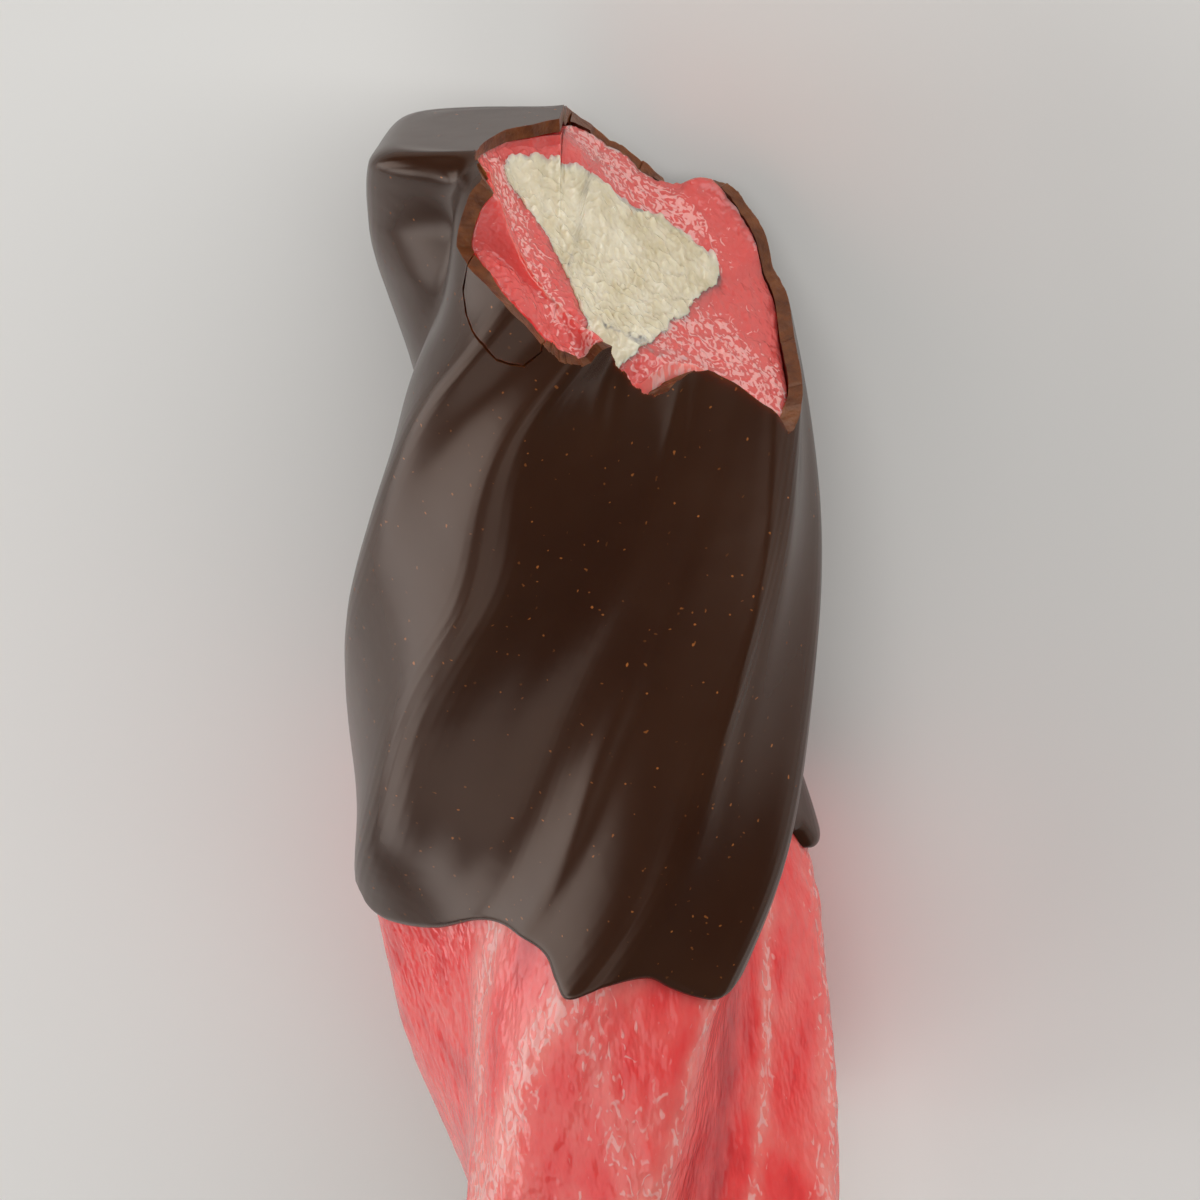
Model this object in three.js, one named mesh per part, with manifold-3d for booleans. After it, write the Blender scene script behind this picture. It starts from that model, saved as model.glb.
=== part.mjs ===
// Twisted three-lobed fruit ice bar with a vanilla core, dipped in chocolate and bitten at the
// top. The bar is modelled upright about its axis (x right, y back, z up from the chocolate's
// rim) and then laid on its back, front side up. Millimetres and degrees.
import * as THREE from 'three';
import { mergeVertices } from 'three/addons/utils/BufferGeometryUtils.js';
import Module from 'manifold-3d';

const wasm = await Module();
wasm.setup();

// the bar
const lobeCount = 3;
const lobeRadius = 22.34; // over the chocolate, at a lobe's corners
const lobeTaper = 0.274; // share of the radius lost 100 mm away from the rim
const lobeProfile = [[-20.6, 1], [20.6, 1], [41, 0.745], [61, 0.686], [77.5, 0.788]];
const lobeRounding = 5.1;
const footHeight = -34;
const axisBow = { at: 20, depth: 1.48, reach: 50 };
const twist = { from: -45, step: 15, turn: [-160, -145.5, -128, -114, -87, -68, -44, -18.5, 16, 52] };
const endPlane = { height: 78.6, fall: 0.24, rounding: 3.2 }; // end face, lower towards the back

// the chocolate
const chocolateThickness = 1.2;
const fittingGap = 0.3;
const iceInset = chocolateThickness + fittingGap;
const rimProfile = [[-21, 5.2], [-12, 7.1], [4, 5.2], [20, 3], [26, 3.2], [44, 4.6], [56, 7.2], [72, 8.5], [86, 8]];
const rimRounding = { drop: 1.1, inset: 0.8 };

// the vanilla core: outline angle and radius
const coreProfile = [[16, 16.6], [56, 10.2], [93, 9.3], [130, 14], [163, 7.6], [203, 4.3], [261, 8], [304, 5.2],
  [330, 5.7]];
const coreRounding = 4;
const coreTop = 77;

// the bite: angle on the bar and height along its broken edge, then the arc over the end face
const biteCentre = { x: 4.5, y: -1.5 };
const bitePlane = { height: 72.7, slopeX: -0.8, slopeY: 0.22 };
const biteBowl = 2.2;
const biteEdge = [[296, 73], [303, 71.5], [321, 71.2], [331, 70.9], [340, 70], [349, 68.3], [357, 66.7],
  [3, 66.1], [8, 66.1], [8.5, 67.6], [17, 65.4], [25.5, 63.4], [38, 61], [46, 60.2], [54, 60.9], [63.5, 60.9],
  [68, 59.6], [75, 59], [84, 56.6], [93, 54.2], [99, 53.3], [102.5, 53.8], [101.5, 56.5], [102, 58.3],
  [118, 58.6], [136, 59.2], [138, 61.5], [136.5, 64], [140, 66], [147, 66.8], [153.5, 66.1], [157.5, 67.2],
  [162.5, 69.9], [165.5, 71.1], [168, 73.2], [172.5, 74.4]];
const biteArc = [[0, 11], [-0.4, 5.8], [-2, 3.2], [-3.7, 1.7], [-5.3, -0.8], [-6.9, -3.7], [-7.3, -6]];
const biteOvershoot = 1.15; // how far past the bar's side the bite is cut
const biteClearance = 12; // room beyond that, to take off the lobes above the bite
const biteCeiling = 120;
const biteStep = 7;
const iceRecess = 0.5; // the ice breaks this much lower than its chocolate

// the cracked chip below the bite: angle on the bar and height round its outline
const chipOutline = [[308, 76], [308.2, 71.6], [309.6, 70.5], [313.5, 69.6], [319.5, 68.7], [326.5, 67.8],
  [332, 67.4], [337.5, 66.9], [342.5, 66.4], [347, 66.1], [353, 66.3], [350, 68.3], [346, 76]];
const chipReach = 3.5; // half the depth of the cut round it

// the stick
const stick = { width: 10, thickness: 2.2, length: 100, inside: 50, bevel: 0.5 };

// the lying pose, about the bar's own axis and then along it
const restRoll = 12.5;
const restPitch = -1.5;
const restFlat = 0.3; // depth of the flat spots it lies on

const barAngles = evenAngles(60);
const coreAngles = evenAngles(36);
const rowSpacing = 5;

const radians = THREE.MathUtils.degToRad;
const wrap = (value, span) => ((value % span) + span) % span;

function evenAngles(count) {
  return Array.from({ length: count }, (_, i) => i * 360 / count);
}


// straight sides between [angle, radius] corners, averaged over a few degrees to round them
function roundedOutline(corners, period, rounding) {
  const closed = [...corners, [corners[0][0] + period, corners[0][1]]];
  const point = ([a, r]) => new THREE.Vector2(r * Math.cos(radians(a)), r * Math.sin(radians(a)));
  const sharp = (angle) => {
    const a = corners[0][0] + wrap(angle - corners[0][0], period);
    const i = closed.findIndex(([end]) => end > a);
    const [p, q] = [point(closed[i - 1]), point(closed[i])];
    const ray = new THREE.Vector2(Math.cos(radians(a)), Math.sin(radians(a)));
    const side = q.clone().sub(p);
    return p.cross(side) / ray.cross(side);
  };
  return (angle) => {
    let [sum, weights] = [0, 0];
    for (let k = -3; k <= 3; k += 0.5) {
      const weight = Math.exp(-k * k / 2);
      sum += weight * sharp(angle + k * rounding);
      weights += weight;
    }
    return sum / weights;
  };
}

// smooth value between [angle, value] stations that repeat every period
function periodicValue(stations, period, angle) {
  const closed = [...stations, [stations[0][0] + period, stations[0][1]]];
  const a = stations[0][0] + wrap(angle - stations[0][0], period);
  const i = closed.findIndex(([end]) => end > a);
  const [[a0, v0], [a1, v1]] = [closed[i - 1], closed[i]];
  const t = (a - a0) / (a1 - a0);
  return v0 + (v1 - v0) * t * t * (3 - 2 * t);
}

const lobeOutline = roundedOutline(lobeProfile, 360 / lobeCount, lobeRounding);
const coreOutline = roundedOutline(coreProfile, 360, coreRounding);

// turn of the section at a height, by a Catmull-Rom curve through its even stations
function turnAt(height) {
  const u = (height - twist.from) / twist.step;
  const i = THREE.MathUtils.clamp(Math.floor(u), 1, twist.turn.length - 3);
  const [a, b, c, d] = twist.turn.slice(i - 1, i + 3);
  const t = u - i;
  return b + 0.5 * t * (c - a + t * (2 * a - 5 * b + 4 * c - d + t * (3 * (b - c) + d - a)));
}

const barRadius = (angle, height) => lobeRadius * (1 - lobeTaper * (height / 100) ** 2) * lobeOutline(angle);

// point at a body angle, radius and height: angle 0 faces the front before the twist
function place(angle, radius, height) {
  const a = radians(angle + turnAt(height));
  const bow = axisBow.depth * ((height - axisBow.at) / axisBow.reach) ** 2;
  return new THREE.Vector3(radius * Math.sin(a) + bow, -radius * Math.cos(a), height);
}

function endHeight(angle, radius) {
  return endPlane.height - endPlane.fall * place(angle, radius, endPlane.height).y;
}

// closed solid of rings, each a function of the angle that gives a point, with a fan at both ends
function ringSolid(rings, angles) {
  const steps = angles.length;
  const positions = [];
  const faces = [];
  for (const ring of rings) for (const angle of angles) positions.push(...ring(angle).toArray());
  const at = (row, i) => row * steps + (i % steps);
  const last = rings.length - 1;
  for (let row = 0; row < last; row += 1) {
    for (let i = 0; i < steps; i += 1) {
      faces.push(at(row, i), at(row, i + 1), at(row + 1, i + 1), at(row, i), at(row + 1, i + 1), at(row + 1, i));
    }
  }
  for (const [row, flip] of [[0, true], [last, false]]) {
    const centre = new THREE.Vector3();
    for (let i = 0; i < steps; i += 1) centre.add(new THREE.Vector3().fromArray(positions, 3 * at(row, i)));
    positions.push(...centre.divideScalar(steps).toArray());
    const hub = positions.length / 3 - 1;
    for (let i = 0; i < steps; i += 1) {
      faces.push(hub, ...(flip ? [at(row, i + 1), at(row, i)] : [at(row, i), at(row, i + 1)]));
    }
  }
  return toManifold(positions, faces);
}

function toManifold(positions, faces) {
  const geometry = new THREE.BufferGeometry();
  geometry.setAttribute('position', new THREE.Float32BufferAttribute(positions, 3));
  geometry.setIndex(faces);
  return fromGeometry(geometry);
}

function fromGeometry(source) {
  const bare = source.clone();
  bare.deleteAttribute('normal');
  bare.deleteAttribute('uv');
  const merged = mergeVertices(bare, 1e-4);
  const mesh = new wasm.Mesh({
    numProp: 3,
    vertProperties: new Float32Array(merged.attributes.position.array),
    triVerts: new Uint32Array(merged.index.array),
  });
  return new wasm.Manifold(mesh);
}

// rings of a twisted body from a bottom height up to the end face, its edge rounded over
function bodyRings(radiusAt, bottomAt, endDrop, bottomRounding) {
  const rings = [];
  const topOf = (angle) => endHeight(angle, radiusAt(angle, endPlane.height)) - endDrop;
  if (bottomRounding) {
    const { drop, inset } = bottomRounding;
    rings.push((a) => place(a, radiusAt(a, bottomAt(a)) - inset, bottomAt(a)));
    rings.push((a) => place(a, radiusAt(a, bottomAt(a)) - inset * 0.25, bottomAt(a) + drop * 0.35));
  }
  const start = bottomRounding ? bottomRounding.drop : 0;
  const rows = Math.round((endPlane.height - endPlane.rounding - footOr(bottomAt)) / rowSpacing);
  for (let row = 0; row <= rows; row += 1) {
    rings.push((a) => {
      const low = bottomAt(a) + start;
      const height = low + (topOf(a) - endPlane.rounding - low) * row / rows;
      return place(a, radiusAt(a, height), height);
    });
  }
  for (const lift of [35, 65, 90]) {
    rings.push((a) => {
      const height = topOf(a) - endPlane.rounding * (1 - Math.sin(radians(lift)));
      return place(a, radiusAt(a, height) - endPlane.rounding * (1 - Math.cos(radians(lift))), height);
    });
  }
  for (const share of [0.66, 0.33]) {
    rings.push((a) => {
      const radius = share * (radiusAt(a, endPlane.height) - endPlane.rounding);
      return place(a, radius, endHeight(a, radius) - endDrop);
    });
  }
  return rings;
}

const footOr = (bottomAt) => Math.min(bottomAt(0), bottomAt(72));

const rimHeight = (angle) => periodicValue(rimProfile, 360 / lobeCount, angle);

const chocolateOutside = () => ringSolid(
  bodyRings((a, h) => barRadius(a, h), rimHeight, 0, rimRounding), barAngles);

// the space inside the chocolate, open well below its rim
const chocolateInside = () => ringSolid(
  bodyRings((a, h) => barRadius(a, h) - chocolateThickness, () => footHeight, chocolateThickness), barAngles);

const iceOutside = () => ringSolid(
  bodyRings((a, h) => barRadius(a, h) - iceInset, () => footHeight, iceInset), barAngles);

function coreBody(growth, bottom, top) {
  const rows = Math.round((top - bottom) / 6.5);
  const rings = [];
  for (let row = 0; row <= rows; row += 1) {
    const height = bottom + (top - bottom) * row / rows;
    rings.push((a) => place(a, coreOutline(a) + growth, height));
  }
  return ringSolid(rings, coreAngles);
}

// everything above the bitten surface, as rings round the bite's centre with walls at its edge
function biteBody(lowering) {
  const edge = [...biteEdge.map(([angle, height]) => {
    const { x, y } = place(angle, barRadius(angle, height), height);
    return { x, y, z: height, past: biteOvershoot };
  }), ...biteArc.map(([x, y]) => ({ x, y, z: endPlane.height - endPlane.fall * y - iceInset, past: 1 }))];
  const planeAt = (x, y) => bitePlane.height + bitePlane.slopeX * x + bitePlane.slopeY * y;
  const polar = edge.map((p) => ({
    angle: wrap(THREE.MathUtils.radToDeg(Math.atan2(p.y - biteCentre.y, p.x - biteCentre.x)), 360),
    reach: Math.hypot(p.x - biteCentre.x, p.y - biteCentre.y),
    lift: p.z - planeAt(p.x, p.y),
    past: p.past,
  })).sort((p, q) => p.angle - q.angle);
  polar.push({ ...polar[0], angle: polar[0].angle + 360 });
  const angles = polar.slice(1).flatMap((q, i) => {
    const p = polar[i];
    const parts = Math.ceil((q.angle - p.angle) / biteStep);
    return Array.from({ length: parts }, (_, k) => p.angle + (q.angle - p.angle) * k / parts);
  });
  const edgeAt = (angle) => {
    const i = polar.findIndex((p) => p.angle > angle);
    const [p, q] = [polar[i - 1], polar[i]];
    const t = (angle - p.angle) / (q.angle - p.angle);
    const blend = (key) => p[key] + (q[key] - p[key]) * t;
    return { reach: blend('reach'), lift: blend('lift'), past: blend('past') };
  };
  const aim = (angle, radius) => new THREE.Vector2(Math.cos(radians(angle)), Math.sin(radians(angle)))
    .multiplyScalar(radius).add(biteCentre);
  const surface = (share) => (angle) => {
    const { reach, lift, past } = edgeAt(angle);
    const q = share * past;
    const { x, y } = aim(angle, q * reach);
    return new THREE.Vector3(x, y, planeAt(x, y) - biteBowl * (1 - q * q) + lift * q ** 5 - lowering);
  };
  const clear = (ceiling) => (angle) => {
    const { reach, past } = edgeAt(angle);
    const { x, y } = aim(angle, past * reach + biteClearance * (past - 1) / (biteOvershoot - 1));
    return new THREE.Vector3(x, y, ceiling ?? surface(1)(angle).z);
  };
  const shares = [0.15, 0.35, 0.55, 0.75, 0.9, 1];
  return ringSolid([...shares.map(surface), clear(), clear(biteCeiling)], angles);
}

// a plug through the chocolate with the chip's outline, grown outwards for the cut round it
function chipBody(growth) {
  const corners = chipOutline.map(([angle, height]) => place(angle, barRadius(angle, height), height));
  const middle = corners.reduce((sum, p) => sum.add(p), new THREE.Vector3()).divideScalar(corners.length);
  const outwards = new THREE.Vector3(middle.x, middle.y, 0).normalize();
  const positions = [];
  const faces = [];
  const count = corners.length;
  for (const depth of [-chipReach, chipReach]) {
    for (const corner of corners) {
      const aside = corner.clone().sub(middle).projectOnPlane(outwards);
      const grown = aside.setLength(aside.length() + growth);
      positions.push(...middle.clone().add(grown).addScaledVector(outwards, depth).toArray());
    }
    positions.push(...middle.clone().addScaledVector(outwards, depth).toArray());
  }
  const top = count + 1;
  for (let i = 0; i < count; i += 1) {
    const j = (i + 1) % count;
    faces.push(count, j, i, top + count, top + i, top + j);
    faces.push(i, j, top + j, i, top + j, top + i);
  }
  return toManifold(positions, faces);
}

function stickBody(growth) {
  const half = stick.width / 2 - stick.bevel;
  const run = stick.length - stick.width;
  const outline = new THREE.Shape();
  outline.absarc(0, run / 2, half, 0, Math.PI, false);
  outline.absarc(0, -run / 2, half, Math.PI, 2 * Math.PI, false);
  outline.closePath();
  const geometry = new THREE.ExtrudeGeometry(outline, {
    depth: stick.thickness - 2 * stick.bevel,
    bevelThickness: stick.bevel + growth,
    bevelSize: stick.bevel + growth,
    bevelSegments: 1,
    curveSegments: 10,
  });
  geometry.translate(0, 0, -(stick.thickness - 2 * stick.bevel) / 2);
  geometry.rotateX(Math.PI / 2);
  const foot = place(0, 0, footHeight);
  geometry.translate(foot.x, 0, footHeight + stick.inside - stick.length / 2);
  return fromGeometry(geometry);
}

function meshOf(name, solid, color, roughness) {
  const { vertProperties, triVerts } = solid.getMesh();
  const geometry = new THREE.BufferGeometry();
  geometry.setAttribute('position', new THREE.BufferAttribute(vertProperties, 3));
  geometry.setIndex(new THREE.BufferAttribute(triVerts, 1));
  geometry.computeVertexNormals();
  const mesh = new THREE.Mesh(geometry, new THREE.MeshStandardMaterial({ color, roughness, metalness: 0 }));
  mesh.name = name;
  return mesh;
}

const bite = biteBody(0);
const iceBite = biteBody(iceRecess);
const stickSlot = stickBody(fittingGap);
const cover = chocolateOutside().subtract(chocolateInside()).subtract(bite);
const ice = iceOutside().subtract(coreBody(fittingGap, footHeight - 1, coreTop + fittingGap))
  .subtract(stickSlot).subtract(iceBite);

// on its back and rolled a little, onto two of its lobes
const lying = new THREE.Matrix4().makeRotationFromEuler(new THREE.Euler(radians(restPitch), radians(restRoll), 0))
  .multiply(new THREE.Matrix4().makeRotationX(-Math.PI / 2));

function lowest(solid) {
  const points = new THREE.BufferAttribute(solid.getMesh().vertProperties, 3).applyMatrix4(lying);
  return new THREE.Box3().setFromBufferAttribute(points).min.z;
}

// all below the flat spots, in the bar's own frame
function underFlats() {
  const block = new THREE.BoxGeometry(400, 400, 20);
  block.translate(0, 0, lowest(cover) + restFlat - 10);
  block.applyMatrix4(lying.clone().invert());
  return fromGeometry(block);
}

const shell = cover.subtract(underFlats());
const part = new THREE.Group();
part.add(
  meshOf('chocolate_shell', shell.subtract(chipBody(fittingGap)), 0x3b251b, 0.32),
  meshOf('chocolate_chip', shell.intersect(chipBody(0)), 0x402a1f, 0.4),
  meshOf('strawberry_ice', ice, 0xd65c59, 0.5),
  meshOf('vanilla_core', coreBody(0, footHeight, coreTop).subtract(stickSlot).subtract(iceBite), 0xe3dcc4, 0.55),
  meshOf('wooden_stick', stickBody(0), 0xd9b98a, 0.7),
);

// the bounding box stands on the origin
for (const mesh of part.children) mesh.geometry.applyMatrix4(lying);
const box = new THREE.Box3().setFromObject(part, true);
for (const mesh of part.children) {
  mesh.geometry.translate(-(box.min.x + box.max.x) / 2, -(box.min.y + box.max.y) / 2, -box.min.z);
}

export default part;
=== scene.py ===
import bpy
import numpy as np
from math import radians, pi
from mathutils import Matrix, Vector, noise


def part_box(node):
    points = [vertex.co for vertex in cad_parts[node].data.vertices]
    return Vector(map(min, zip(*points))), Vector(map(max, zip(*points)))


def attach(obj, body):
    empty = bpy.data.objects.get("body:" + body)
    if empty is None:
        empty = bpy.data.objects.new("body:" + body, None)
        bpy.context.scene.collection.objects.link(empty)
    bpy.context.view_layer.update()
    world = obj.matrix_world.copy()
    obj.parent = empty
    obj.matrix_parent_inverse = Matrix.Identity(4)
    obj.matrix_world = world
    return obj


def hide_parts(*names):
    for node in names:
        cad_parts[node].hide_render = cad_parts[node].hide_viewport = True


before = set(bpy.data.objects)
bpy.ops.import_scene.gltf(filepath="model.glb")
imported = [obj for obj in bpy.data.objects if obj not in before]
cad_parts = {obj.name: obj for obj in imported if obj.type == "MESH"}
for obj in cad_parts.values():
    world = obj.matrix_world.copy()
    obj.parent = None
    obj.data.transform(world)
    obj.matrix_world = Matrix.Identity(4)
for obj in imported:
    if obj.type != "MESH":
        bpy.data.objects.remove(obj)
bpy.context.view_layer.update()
mm = 0.001
print("stage: frame loaded")

# The bar's form, upright, in mm and degrees: x right, y back, z up from the chocolate's rim
bar = {
    "lobes": 3,
    "radius": 22.34,  # over the chocolate at a lobe's corners
    "taper": 0.274,  # share of the radius that is lost over the reach
    "taperReach": 100,
    "profile": [(-20.6, 1), (20.6, 1), (41, 0.745), (61, 0.686), (77.5, 0.788)],  # of one lobe
    "profileRounding": 5.1,
    "foot": -34,
    "bowAt": 20,
    "bowDepth": 1.48,
    "bowReach": 50,
    "twistFrom": -45,
    "twistStep": 15,
    "twist": [-160, -145.5, -128, -114, -87, -68, -44, -18.5, 16, 52],
    "endHeight": 78.6,
    "endFall": 0.24,  # mm down for each mm back
    "endRounding": 3.2,
    "chocolate": 1.25,  # thickness
    "roll": 12.5,  # how it lies on its back
    "pitch": -1.5,
    "restHeight": 0.02,  # of the flat strip that it lies on
}


def roundedOutline(corners, period, rounding):  # straight sides between (angle, radius) corners, rounded
    ends = np.array(list(corners) + [(corners[0][0] + period, corners[0][1])], float)
    turn = np.radians(ends[:, 0])
    points = ends[:, 1:] * np.column_stack([np.cos(turn), np.sin(turn)])

    def sharp(angle):  # where a ray meets the side
        a = ends[0, 0] + np.mod(angle - ends[0, 0], period)
        i = np.clip(np.searchsorted(ends[:, 0], a, side="right"), 1, len(ends) - 1)
        p, side = points[i - 1], points[i] - points[i - 1]
        rayX, rayY = np.cos(np.radians(a)), np.sin(np.radians(a))
        return (p[:, 0] * side[:, 1] - p[:, 1] * side[:, 0]) / (rayX * side[:, 1] - rayY * side[:, 0])

    degreeStep = 0.25
    angles = np.arange(0, period + degreeStep, degreeStep)
    offsets = np.arange(-3, 3.01, 0.5)  # in roundings, for a bell-shaped average
    weights = np.exp(-offsets**2 / 2)
    radii = sum(w * sharp(angles + k * rounding) for w, k in zip(weights, offsets)) / weights.sum()
    return lambda angle: np.interp(np.mod(angle, period), angles, radii)


def smoothStations(stations, period):  # smooth value between (angle, value) stations that repeat
    ends = np.array(list(stations) + [(stations[0][0] + period, stations[0][1])], float)
    before = np.vstack([ends[-2] - (period, 0), ends, ends[1] + (period, 0)])
    slopes = (before[2:, 1] - before[:-2, 1]) / (before[2:, 0] - before[:-2, 0])

    def value(angle):
        a = ends[0, 0] + np.mod(angle - ends[0, 0], period)
        i = np.clip(np.searchsorted(ends[:, 0], a, side="right"), 1, len(ends) - 1)
        wide = ends[i, 0] - ends[i - 1, 0]
        t = (a - ends[i - 1, 0]) / wide
        low, high = slopes[i - 1] * wide, slopes[i] * wide
        eased = ends[i - 1, 1] + (ends[i, 1] - ends[i - 1, 1]) * t * t * (3 - 2 * t)
        return eased + t * (1 - t) * ((1 - t) * low - t * high)

    return value


lobeOutline = roundedOutline(bar["profile"], 360 / bar["lobes"], bar["profileRounding"])


def turnAt(height):  # Catmull-Rom through the twist's even stations
    turns = np.array(bar["twist"], float)
    u = (np.asarray(height, float) - bar["twistFrom"]) / bar["twistStep"]
    i = np.clip(np.floor(u).astype(int), 1, len(turns) - 3)
    a, b, c, d, t = turns[i - 1], turns[i], turns[i + 1], turns[i + 2], u - i
    return b + 0.5 * t * (c - a + t * (2 * a - 5 * b + 4 * c - d + t * (3 * (b - c) + d - a)))


def bowAt(height):
    return bar["bowDepth"] * ((np.asarray(height, float) - bar["bowAt"]) / bar["bowReach"]) ** 2


def place(angle, radius, height):
    angle, radius, height = np.broadcast_arrays(angle, radius, height)
    a = np.radians(angle + turnAt(height))
    return np.stack([radius * np.sin(a) + bowAt(height), -radius * np.cos(a), height], -1)


def barAngle(points):  # the angle round the bar of points in the upright frame
    x = points[..., 0] - bowAt(points[..., 2])
    y = points[..., 1]
    return np.mod(np.degrees(np.arctan2(x, -y)) - turnAt(points[..., 2]), 360)


def evenly(count):  # even angles all round
    return np.arange(count) * 360 / count


def near(value, middle, width):  # soft bump of height 1 round an angle
    away = np.mod(value - middle + 180, 360) - 180
    return np.exp(-0.5 * (away / width) ** 2)


def between(value, low, high, soft):
    return 1 / (1 + np.exp(-(value - low) / soft)) / (1 + np.exp((value - high) / soft))


def easeIn(value, low, high):
    t = np.clip((value - low) / (high - low), 0, 1)
    return t * t * (3 - 2 * t)


# Folds and creases beyond the plain lobes: angle, its lean in degrees a mm, width, rise in mm, and the
# heights from and to which it runs, with their softness
creases = [
    (75.6, 0, 2.3, 0.15, 8, 47, 5),
    (81.0, 0, 2.8, -0.18, 8, 45, 5),
    (89.5, -0.2, 3.6, 0.18, 12, 46, 4),
    (96.6, -0.45, 1.8, 0.2, 28, 55, 4),
    (102.6, -0.45, 2.8, -0.24, 27, 55, 4),
    (114.5, 0, 15.1, -0.93, 47.6, 72, 3.3),
    (127, 0, 10.3, -0.24, 44, 62, 3),
    (18, 0, 9, -0.55, 17, 50, 4),
    (41.5, 0, 5, 0.2, 6, 42, 4),
    (20.5, -1.6, 2.6, -0.34, 57.5, 66, 1.2),
    (26.5, -1.6, 3.4, 0.22, 57.5, 66, 1.2),
    (47.4, -4.1, 6, 0.16, 56, 60, 0.7),
    (61.2, -1.0, 2.2, 0.2, 53, 59, 1.0),
    (57.0, -1.0, 2.2, -0.16, 53, 59, 1.0),
]

# How the lobes change on their way up. A change grows between two heights, and may drift round as it does
upwards = {
    "middle": (50, 64),
    "high": (64.4, 77),
    "valleyLean": {"at": 295, "by": 20, "before": 16, "after": 24},  # the left valley leans over
    "frontLean": {"at": 8, "by": 18, "width": 20, "grows": (40, 64)},  # so does the front lobe's right side
    "deeperValley": {"at": 289.5, "drift": -10, "width": 7.6, "rise": -1.9},
    "fullerLobe": {"at": 322.3, "drift": -12, "width": 9, "rise": 0.84},
    "endFlare": {"at": 277, "width": 11, "rise": 3.4, "grows": (70, 80)},  # out over the left valley
    "sharpCorner": {"at": 238, "width": 26, "by": 1.3},  # less rounding at the back left corner
}


def barRadius(angle, height):
    angle, height = np.mod(angle, 360), np.asarray(height, float)
    high, middle = easeIn(height, *upwards["high"]), easeIn(height, *upwards["middle"])
    valley, front, flare = upwards["valleyLean"], upwards["frontLean"], upwards["endFlare"]
    valleyWidth = np.where(angle < valley["at"], valley["before"], valley["after"])
    shifted = angle + valley["by"] * high * near(angle, valley["at"], valleyWidth)
    frontGrown, flareGrown = easeIn(height, *front["grows"]), easeIn(height, *flare["grows"])
    shifted = shifted + front["by"] * frontGrown * near(angle, front["at"], front["width"])
    narrowed = 1 - bar["taper"] * (height / bar["taperReach"]) ** 2
    radius = bar["radius"] * narrowed * lobeOutline(shifted)
    for part in (upwards["deeperValley"], upwards["fullerLobe"]):
        drifted = part["at"] + part["drift"] * high
        radius = radius + part["rise"] * middle * near(angle, drifted, part["width"])
    radius = radius + flare["rise"] * flareGrown * near(angle, flare["at"], flare["width"])
    for centre, lean, width, rise, low, top, soft in creases:
        along = between(height, low, top, soft)
        radius = radius + rise * near(angle, centre + lean * (height - (low + top) / 2), width) * along
    return radius


def endRounding(angle):
    corner = upwards["sharpCorner"]
    return bar["endRounding"] - corner["by"] * near(angle, corner["at"], corner["width"])


def endHeight(angle, radius):
    return bar["endHeight"] - bar["endFall"] * place(angle, radius, bar["endHeight"])[..., 1]


def skinRadius(angle, height):  # the outside with the end's rounding
    radius = barRadius(angle, height)
    over = (height - endHeight(angle, barRadius(angle, bar["endHeight"]))) / endRounding(angle) + 1
    return radius - endRounding(angle) * (1 - np.sqrt(1 - np.clip(over, 0, 1) ** 2))


# The flat stick. Its rings are (share of half its thickness, share of the bevel that is taken off there)
stick = {
    "width": 10,
    "thickness": 2.2,
    "length": 100,
    "inside": 50,
    "bevel": 0.5,
    "around": 96,
    "rings": [(-1, 1), (-0.8, 0.3), (-0.55, 0), (0.55, 0), (0.8, 0.3), (1, 1)],
}

# The bar lies on its back: from upright mm to metres in the row frame, its place set by the stick's box
pitch = Matrix.Rotation(radians(bar["pitch"]), 3, "X")
roll = Matrix.Rotation(radians(bar["roll"]), 3, "Y")
layDown = np.array(pitch @ roll @ Matrix.Rotation(-pi / 2, 3, "X"))
stickMiddle = np.array([float(bowAt(bar["foot"])), 0, bar["foot"] + stick["inside"] - stick["length"] / 2])
stickBox = np.array([list(c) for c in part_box("wooden_stick")]) / mm
shift = stickBox.mean(axis=0) - layDown @ stickMiddle


def toRow(points):
    return (np.asarray(points) @ layDown.T + shift) * mm


def toBar(points):
    return (np.asarray(points) / mm - shift) @ layDown


def grain(points, size, seed):  # noise of that size in mm at each point
    seedStep = 17.3
    where = (np.asarray(points).reshape(-1, 3) / size + seed * seedStep).tolist()
    return np.array([noise.noise(w) for w in where]).reshape(np.shape(points)[:-1])


def lumps(points, size, seed):  # rounded lumps with soft valleys between them
    softness = 0.01
    return np.sqrt(grain(points, size, seed) ** 2 + softness)


def makeMesh(name, points, faces, material):
    mesh = bpy.data.meshes.new(name)
    mesh.from_pydata(toRow(points).tolist(), [], faces)
    mesh.materials.append(material)
    piece = bpy.data.objects.new(name, mesh)
    bpy.context.scene.collection.objects.link(piece)
    return piece


def ringSolid(name, rings, material):  # closed solid of rings (rings, angles, 3) with a fan at both ends
    count, around = rings.shape[:2]
    index = np.arange(count * around).reshape(count, around)
    a, b = index[:-1], index[1:]
    a2, b2 = np.roll(a, -1, axis=1), np.roll(b, -1, axis=1)
    quads = np.stack([a, a2, b2, b], -1).reshape(-1, 4).tolist()
    points = rings.reshape(-1, 3)
    hubs = np.array([rings[0].mean(axis=0), rings[-1].mean(axis=0)])
    low, high = len(points), len(points) + 1
    first, last = index[0], index[-1]
    fans = np.stack([np.full(around, low), np.roll(first, -1), first], -1).tolist()
    fans += np.stack([np.full(around, high), last, np.roll(last, -1)], -1).tolist()
    return makeMesh(name, np.vstack([points, hubs]), quads + fans, material)


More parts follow.
